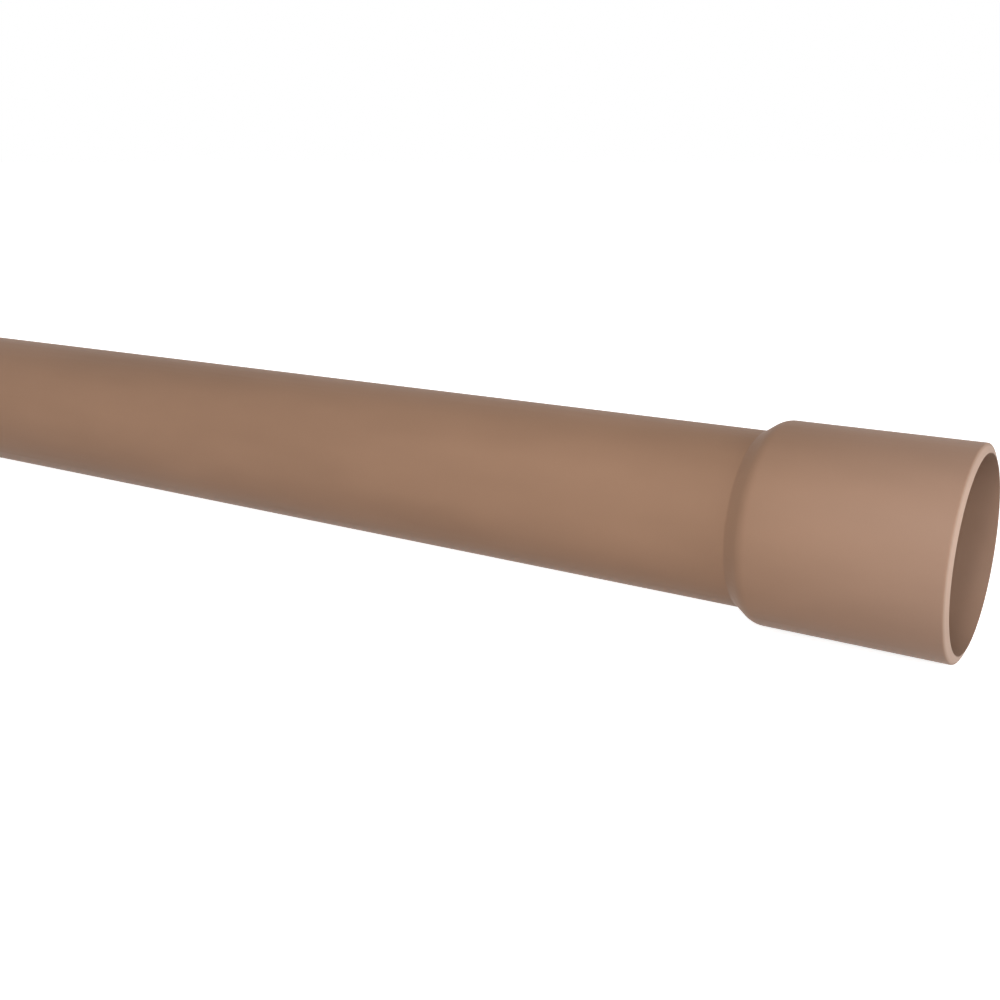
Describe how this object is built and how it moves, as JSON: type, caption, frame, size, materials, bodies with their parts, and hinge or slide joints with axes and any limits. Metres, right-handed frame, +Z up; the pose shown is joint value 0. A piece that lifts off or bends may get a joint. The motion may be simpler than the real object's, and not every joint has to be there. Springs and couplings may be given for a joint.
{
  "type": "pvc water pipe",
  "caption": "Straight rigid plastic pressure pipe for water with a solvent-weld socket formed on one end and a chamfered spigot on the other.",
  "frame": {"origin": "centre of the socket's stop, on the pipe's axis, where the socket's straight bore ends at the shoulder; the mouth is 51 mm further along +X", "axes": "+X along the pipe's axis and out of the socket's mouth, +Z up with the pipe lying on the floor"},
  "size_m": [3, 0.0572, 0.0574],
  "materials": {
    "pvc": "satin extruded rigid PVC, brown"
  },
  "bodies": {
    "root": {"pipe": "pvc"}
  },
  "joints": []
}
